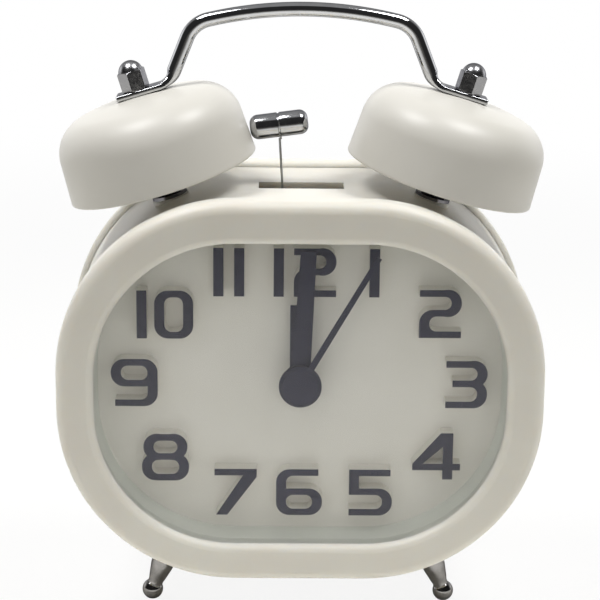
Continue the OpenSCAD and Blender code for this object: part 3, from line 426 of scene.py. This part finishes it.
def buildBell(name, node, side):
    look = bellLook
    sheet, heights = look["sheet"], look["wallRows"]
    sizes = [look[key] for key in ("radius", "height", "shoulder", "crown")]
    outer, outerZ = bellSide(*sizes)
    inner, innerZ = bellSide(*[size - sheet for size in sizes])
    wall = [(look["radius"] - look["taper"] * z / outerZ, 0, z) for z in heights]
    lip = arcPoints(look["radius"] - sheet / 2, sheet / 2, sheet / 2, 0, -180, look["lipSteps"])
    back = [(look["radius"] - sheet - look["taper"] * z / innerZ, 0, z) for z in heights[::-1]]
    loop = outer + wall + lip + back + inner[::-1]
    loop.append(loop[0])
    place = inCase(side * look["x"], look["y"], look["z"], side * look["tilt"])
    bell = runTree(name, turnedNodes, loop, bellEnamel, look, place)
    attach(bell, "case")
    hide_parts(node)


buildBell("bellLeft", "bell_left", -1)
buildBell("bellRight", "bell_right", 1)
print("clock: bells turned")

# Handle

handleLook = {"rod": 3.6, "archRadius": 100.0, "archSlope": 13.5, "crook": 7.5, "legSlope": 68.5, "heel": 3.4,
              "tabIn": 7.8, "tabOut": 5.2, "tabWide": 6.4, "tabThick": 1.4, "clear": 0.2,
              "press": (-10.8, -5.8), "square": (2, 10), "tipIn": 0.25, "tipDown": 0.15,
              "rows": {"arch": 22, "crook": 14, "leg": 6, "heel": 10, "tab": 26},
              "segments": 48, "crease": 40}


def handlePath():
    # half of the rod, from the middle of the arch to the tab's end, as (x, z, slope, place along the tab)
    look, bell, counts = handleLook, bellLook, handleLook["rows"]
    tilt, lean = math.radians(bell["tilt"]), math.radians(look["legSlope"])
    arch = math.radians(look["archSlope"])
    radius = look["rod"] / 2
    topX = bell["x"] + bell["height"] * math.sin(tilt)
    topZ = bell["z"] + bell["height"] * math.cos(tilt)
    lift = radius + look["clear"]
    heelX = topX + lift * math.sin(tilt) - look["tabIn"] * math.cos(tilt)
    heelZ = topZ + lift * math.cos(tilt) + look["tabIn"] * math.sin(tilt)
    archX = look["archRadius"] * math.sin(arch)
    crookX = archX + look["crook"] * (math.sin(lean) - math.sin(arch))
    leg = (heelX - crookX - look["heel"] * (math.sin(lean) - math.sin(tilt))) / math.cos(lean)
    steps = [(look["archRadius"], 0.0, arch, counts["arch"]), (look["crook"], arch, lean, counts["crook"]),
             (None, lean, lean, counts["leg"]), (-look["heel"], lean, tilt, counts["heel"])]
    x, z = 0.0, 0.0
    rows = [(x, z, 0.0, None)]
    for bend, start, end, count in steps:
        for i in range(1, count + 1):
            a0 = start + (end - start) * (i - 1) / count
            a1 = start + (end - start) * i / count
            if bend is None:
                x, z = x + leg / count * math.cos(lean), z - leg / count * math.sin(lean)
            else:
                x, z = x + bend * (math.sin(a1) - math.sin(a0)), z + bend * (math.cos(a1) - math.cos(a0))
            along = -look["tabIn"] - look["heel"] * (a1 - tilt) if bend == -look["heel"] else None
            rows.append((x, z, a1, along))
    rise = heelZ - z
    rows = [(x, z + rise, slope, along) for x, z, slope, along in rows]
    for i in range(1, counts["tab"] + 1):
        along = -look["tabIn"] + (look["tabIn"] + look["tabOut"]) * i / counts["tab"]
        rows.append((topX + along * math.cos(tilt) + lift * math.sin(tilt),
                     topZ - along * math.sin(tilt) + lift * math.cos(tilt), tilt, along))
    return rows


def buildHandle():
    look = handleLook
    radius = look["rod"] / 2
    low, high = look["press"]
    roundEnd, squareEnd = look["square"]
    half = []
    for x, z, slope, along in handlePath():
        press = 0.0
        if along is not None:
            press = min(max((along - low) / (high - low), 0.0), 1.0)
            press = press * press * (3 - 2 * press)
        across = radius + (look["tabWide"] / 2 - radius) * press * press
        thick = radius + (look["tabThick"] / 2 - radius) * press
        sink = radius - thick + look["clear"] * press  # the press takes the rod down, onto the bell
        x, z = x - sink * math.sin(slope), z - sink * math.cos(slope)
        half.append((x, z, slope, across, thick, roundEnd + (squareEnd - roundEnd) * press ** 3))
    x, z, slope, across, thick, square = half[-1]
    tip = look["tipIn"]
    half[-1] = (x - tip * math.cos(slope), z + tip * math.sin(slope), slope, across, thick, square)
    half.append((x, z, slope, across - tip, thick - look["tipDown"], square))
    half.append((x, z, slope, 0.0, 0.0, square))
    rows = [(-x, z, -slope, *rest) for x, z, slope, *rest in half[:0:-1]] + half
    points = [(x, 0, z) for x, z, *rest in rows]
    lifts = [c for row in rows for c in (math.sin(row[2]), 0.0, math.cos(row[2]))]
    attributes = {"across": ("FLOAT", [row[3] * mm for row in rows]),
                  "thick": ("FLOAT", [row[4] * mm for row in rows]),
                  "square": ("FLOAT", [row[5] for row in rows]), "lift": ("FLOAT_VECTOR", lifts)}
    place = inCase(0, bellLook["y"], 0)
    handle = runTree("carryHandle", rodNodes, points, brightChrome, look, place, attributes)
    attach(handle, "case")
    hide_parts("handle")


buildHandle()
print("clock: handle bent")

# Domed nuts

nutLook = {"across": 6.2, "hex": 5.0, "height": 7.5, "dome": 3.1, "chamfer": 30.0, "undercut": 0.05,
           "turns": (17.0, -21.0), "lowSteps": 6, "highSteps": 8, "domeSteps": 16,
           "segments": 96, "crease": 25}


def nutProfile():
    # as it leaves the lathe: a collar chamfered at both ends, then the dome
    look = nutLook
    fall = math.tan(math.radians(look["chamfer"]))
    corner = look["across"] / math.sqrt(3)
    base, head = look["across"] / 2 - look["undercut"], look["dome"]
    lows = [(corner - base) * i / look["lowSteps"] for i in range(look["lowSteps"] + 1)]
    highs = [(corner - head) * i / look["highSteps"] for i in range(look["highSteps"], -1, -1)]
    collar = [(base + out, 0, out * fall) for out in lows]
    collar += [(head + out, 0, look["hex"] - out * fall) for out in highs]
    middle = look["height"] - look["dome"]
    start = math.degrees(math.asin((look["hex"] - middle) / look["dome"]))
    return [(0, 0, 0)] + collar + arcPoints(0, middle, look["dome"], start, 90, look["domeSteps"])


def buildNuts():
    look, bell = nutLook, bellLook
    nuts = runTree("domeNuts", turnedNodes, nutProfile(), satinChrome, look, Matrix.Identity(4))
    sixth = math.pi / 3
    for vertex in nuts.data.vertices:  # the six flats, milled after turning
        x, y, z = vertex.co
        flat = look["across"] / 2 * mm / math.cos(math.atan2(y, x) % sixth - sixth / 2)
        keep = flat / max(math.hypot(x, y), flat)
        vertex.co = (x * keep, y * keep, z)
    pair = bmesh.new()
    lift = Matrix.Translation((0, 0, (bell["height"] + handleLook["tabThick"]) * mm))
    for side, turn in zip((-1, 1), look["turns"]):
        nut = nuts.data.copy()
        spin = Matrix.Rotation(math.radians(turn), 4, "Z")
        nut.transform(inCase(side * bell["x"], bell["y"], bell["z"], side * bell["tilt"]) @ lift @ spin)
        pair.from_mesh(nut)
        bpy.data.meshes.remove(nut)
    pair.to_mesh(nuts.data)
    pair.free()
    nuts.data.set_sharp_from_angle(angle=math.radians(look["crease"]))
    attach(nuts, "case")
    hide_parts("dome_nuts")


buildNuts()
print("clock: nuts turned")

# Hammer head

hammerLook = {"pivot": 20.0, "reach": 42.4, "y": 30.0, "lean": -7.75, "width": 6.2, "length": 14.6,
              "round": 2.1, "endRow": 0.6, "sideRow": 3.0, "groove": 0.28, "grooveEdge": (0.12, 0.03),
              "endSteps": 10, "grooveSteps": 8, "segments": 64, "crease": 40}


def buildHammer():
    look = hammerLook
    r, half, bend, groove = look["width"] / 2, look["length"] / 2, look["round"], look["groove"]
    edgeOut, edgeIn = look["grooveEdge"]
    left = [(0, 0, -half), (r - bend - look["endRow"], 0, -half)]
    left += arcPoints(r - bend, bend - half, bend, -90, 0, look["endSteps"])
    left += [(r, 0, -look["sideRow"]), (r, 0, -groove - edgeOut), (r - edgeIn, 0, -groove)]
    waist = arcPoints(r, 0, groove, -90, -270, look["grooveSteps"])
    right = [(x, 0, -z) for x, y, z in left[::-1]]
    place = inCase(0, look["y"], look["pivot"], look["lean"])
    place = place @ Matrix.Translation((0, 0, look["reach"] * mm)) @ Matrix.Rotation(math.radians(90), 4, "Y")
    head = runTree("hammerHead", turnedNodes, left + waist[1:-1] + right, turnedChrome, look, place)
    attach(head, "hammer")
    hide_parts("hammer_head")


buildHammer()
print("clock: hammer head turned")

# Feet

footLook = {"ball": 5.3, "flat": 0.25, "ballSteps": 22, "neck": 1.9, "neckStart": 0.25, "neckEnd": 2.6,
            "flare": (0.28, 3.6), "swell": (0.1, 6.6), "stem": 2.9, "stemStart": 7.2, "stemDrop": 1.3,
            "collar": 3.4, "collarEdge": (0.2, 1.2), "collarDrop": 1.0, "x": 37.4, "y": 14.0, "splay": 20.0,
            "length": 13.5, "rearY": 43.0, "rearLength": 9.65, "segments": 48, "crease": 40}


def buildFoot(name, node, x, y, splay, length):
    look = footLook
    r, neck, shaft, wide = look["ball"] / 2, look["neck"], look["stem"], look["collar"]
    grip = math.degrees(math.acos(neck / r))
    ball = arcPoints(0, 0, r, -90, grip, look["ballSteps"])
    neckZ = ball[-1][2] + look["neckStart"]
    flareOut, flareZ = look["flare"]
    swellIn, swellZ = look["swell"]
    edgeIn, edgeDrop = look["collarEdge"]
    stem = [(neck, 0, neckZ), (neck, 0, look["neckEnd"]),
            (neck + flareOut, 0, flareZ), (shaft - swellIn, 0, swellZ),
            (shaft, 0, look["stemStart"]), (shaft, 0, length - look["stemDrop"])]
    collar = [(wide - edgeIn, 0, length - edgeDrop), (wide, 0, length - look["collarDrop"]),
              (wide, 0, length), (0, 0, length)]
    place = inCase(x, y, r - look["flat"] - caseLook["rise"], splay)
    foot = runTree(name, turnedNodes, ball + stem + collar, footNickel, look, place)
    for vertex in foot.data.vertices:
        vertex.co.z = max(vertex.co.z, 0.0)  # ground flat where it meets the table
    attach(foot, "case")
    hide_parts(node)


buildFoot("footLeft", "foot_left", -footLook["x"], footLook["y"], footLook["splay"], footLook["length"])
buildFoot("footRight", "foot_right", footLook["x"], footLook["y"], -footLook["splay"], footLook["length"])
buildFoot("footRear", "foot_rear", 0, footLook["rearY"], 0, footLook["rearLength"])
print("clock: feet turned")

# Stage

# the far colour is painted shade: the paper is greyed where it lies away from the lamps
stageLook = {"floor": 4.0, "near": "#fbfaf6", "far": "#72706c", "white": "#ffffff", "reach": (0.15, 0.65),
             "shown": (0.88, 1.0), "behind": (0.10, 0.40)}


def buildFloor():
    # a white table: plain white to the camera, and to bright metal behind the clock; its paper darkens
    # with distance, painted shade that makes its bounce fade away from the clock
    mesh = bpy.data.meshes.new("floor")
    half = stageLook["floor"]
    corners = [(-half, -half, 0), (half, -half, 0), (half, half, 0), (-half, half, 0)]
    mesh.from_pydata(corners, [], [(0, 1, 2, 3)])
    floor = bpy.data.objects.new("floor", mesh)
    bpy.context.scene.collection.objects.link(floor)
    material, tree = newMaterial("studioPaper")
    place = addNode(tree, "ShaderNodeTexCoord")
    away = addNode(tree, "ShaderNodeVectorMath", {"operation": "LENGTH"}, {0: place.outputs["Object"]})
    fade = addNode(tree, "ShaderNodeMapRange", {"interpolation_type": "SMOOTHSTEP"},
                   {"Value": away.outputs["Value"], "From Min": stageLook["reach"][0],
                    "From Max": stageLook["reach"][1]})
    # paper greyed with distance from the clock: painted shade for the table lit less far from the lamps
    tone = addNode(tree, "ShaderNodeValToRGB", None, {"Fac": fade.outputs["Result"]})
    tone.color_ramp.elements[0].color = hexColour(stageLook["near"])
    tone.color_ramp.elements[1].color = hexColour(stageLook["far"])
    paper = addNode(tree, "ShaderNodeBsdfDiffuse", None, {"Color": tone.outputs["Color"]})
    glow = addNode(tree, "ShaderNodeEmission", None,
                   {"Color": hexColour(stageLook["white"]), "Strength": 1.0})
    path = addNode(tree, "ShaderNodeLightPath")
    spot = addNode(tree, "ShaderNodeSeparateXYZ", None, {"Vector": place.outputs["Object"]})
    behind = addNode(tree, "ShaderNodeMapRange", {"interpolation_type": "SMOOTHSTEP"},
                     {"Value": spot.outputs["Y"], "From Min": stageLook["behind"][0],
                      "From Max": stageLook["behind"][1]})
    mirrored = addNode(tree, "ShaderNodeMath", {"operation": "MULTIPLY"},
                       {0: path.outputs["Is Glossy Ray"], 1: behind.outputs["Result"]})
    seen = addNode(tree, "ShaderNodeMath", {"operation": "MAXIMUM"},
                   {0: path.outputs["Is Camera Ray"], 1: mirrored.outputs["Value"]})
    shown = addNode(tree, "ShaderNodeMapRange", None,
                    {"Value": fade.outputs["Result"], "To Min": stageLook["shown"][0],
                     "To Max": stageLook["shown"][1]})
    share = addNode(tree, "ShaderNodeMath", {"operation": "MULTIPLY"},
                    {0: seen.outputs["Value"], 1: shown.outputs["Result"]})
    mix = addNode(tree, "ShaderNodeMixShader", None,
                  {"Fac": share.outputs["Value"], 1: paper.outputs["BSDF"], 2: glow.outputs["Emission"]})
    addNode(tree, "ShaderNodeOutputMaterial", None, {"Surface": mix.outputs["Shader"]})
    mesh.materials.append(material)


buildFloor()

worldLook = {"dark": 0.03, "grey": 0.34, "white": 1.40, "front": (-0.45, 0.05), "ceiling": (0.80, 0.90),
             "backdrop": (0.25, 0.50)}


def buildWorld():
    # a white-table studio: the room on the camera's side is dark, the backdrop white, what is above it grey
    world = bpy.data.worlds.new("studio")
    bpy.context.scene.world = world
    world.use_nodes = True
    tree = world.node_tree
    tree.nodes.clear()
    place = addNode(tree, "ShaderNodeTexCoord")
    part = addNode(tree, "ShaderNodeSeparateXYZ", None, {"Vector": place.outputs["Generated"]})
    toward = addNode(tree, "ShaderNodeMath", {"operation": "MULTIPLY"}, {0: part.outputs["Y"], 1: -1.0})
    sources = {"front": toward.outputs["Value"], "ceiling": part.outputs["Z"], "backdrop": part.outputs["Z"]}
    masks = {}
    for edge, source in sources.items():
        low, high = worldLook[edge]
        masks[edge] = addNode(tree, "ShaderNodeMapRange", {"interpolation_type": "SMOOTHSTEP"},
                              {"Value": source, "From Min": low, "From Max": high}).outputs["Result"]
    below = addNode(tree, "ShaderNodeMath", {"operation": "SUBTRACT"}, {0: 1.0, 1: masks["ceiling"]})
    room = addNode(tree, "ShaderNodeMath", {"operation": "MULTIPLY"},
                   {0: masks["front"], 1: below.outputs["Value"]})
    behind = addNode(tree, "ShaderNodeMapRange", None,
                     {"Value": masks["backdrop"], "To Min": worldLook["white"], "To Max": worldLook["grey"]})
    level = addNode(tree, "ShaderNodeMix", {"data_type": "FLOAT"},
                    {"Factor": room.outputs["Value"], "A": behind.outputs["Result"], "B": worldLook["dark"]})
    path = addNode(tree, "ShaderNodeLightPath")
    seen = addNode(tree, "ShaderNodeMath", {"operation": "MAXIMUM"},
                   {0: path.outputs["Is Camera Ray"], 1: path.outputs["Is Transmission Ray"]})
    white = hexColour(stageLook["white"])
    fill = addNode(tree, "ShaderNodeBackground", None, {"Color": white, "Strength": level.outputs["Result"]})
    backdrop = addNode(tree, "ShaderNodeBackground", None, {"Color": white, "Strength": 1.0})
    mix = addNode(tree, "ShaderNodeMixShader", None,
                  {"Fac": seen.outputs["Value"], 1: fill.outputs["Background"],
                   2: backdrop.outputs["Background"]})
    addNode(tree, "ShaderNodeOutputWorld", None, {"Surface": mix.outputs["Shader"]})


buildWorld()

lampLook = {"aim": (0, 0, 0.10), "size": (0.40, 0.34), "watts": 6.0,
            "at": {"overheadLeft": (-0.40, -0.15, 0.98), "overheadRight": (0.40, -0.15, 0.98)}}
for lampName, spot in lampLook["at"].items():
    light = bpy.data.lights.new(lampName, "AREA")
    light.shape, light.energy = "RECTANGLE", lampLook["watts"]
    light.size, light.size_y = lampLook["size"]
    lamp = bpy.data.objects.new(lampName, light)
    bpy.context.scene.collection.objects.link(lamp)
    lamp.location = spot
    lamp.rotation_euler = (Vector(lampLook["aim"]) - Vector(spot)).to_track_quat("-Z", "Y").to_euler()

viewLook = {"at": (-5.65, -514.4, 216.4), "aim": (-0.35, -31.5, 83.6), "lens": 124.59, "sensor": 36,
            "roll": 0.010}


def buildCamera():
    data = bpy.data.cameras.new("camera")
    data.lens, data.sensor_width = viewLook["lens"], viewLook["sensor"]
    camera = bpy.data.objects.new("camera", data)
    bpy.context.scene.collection.objects.link(camera)
    at, aim = Vector(viewLook["at"]) * mm, Vector(viewLook["aim"]) * mm
    turn = (aim - at).to_track_quat("-Z", "Y").to_matrix().to_4x4()
    camera.matrix_world = Matrix.Translation(at) @ turn @ Matrix.Rotation(viewLook["roll"], 4, "Z")
    bpy.context.scene.camera = camera


buildCamera()
bpy.context.scene.view_settings.view_transform = "Standard"
print("clock: stage, lamps and camera set")
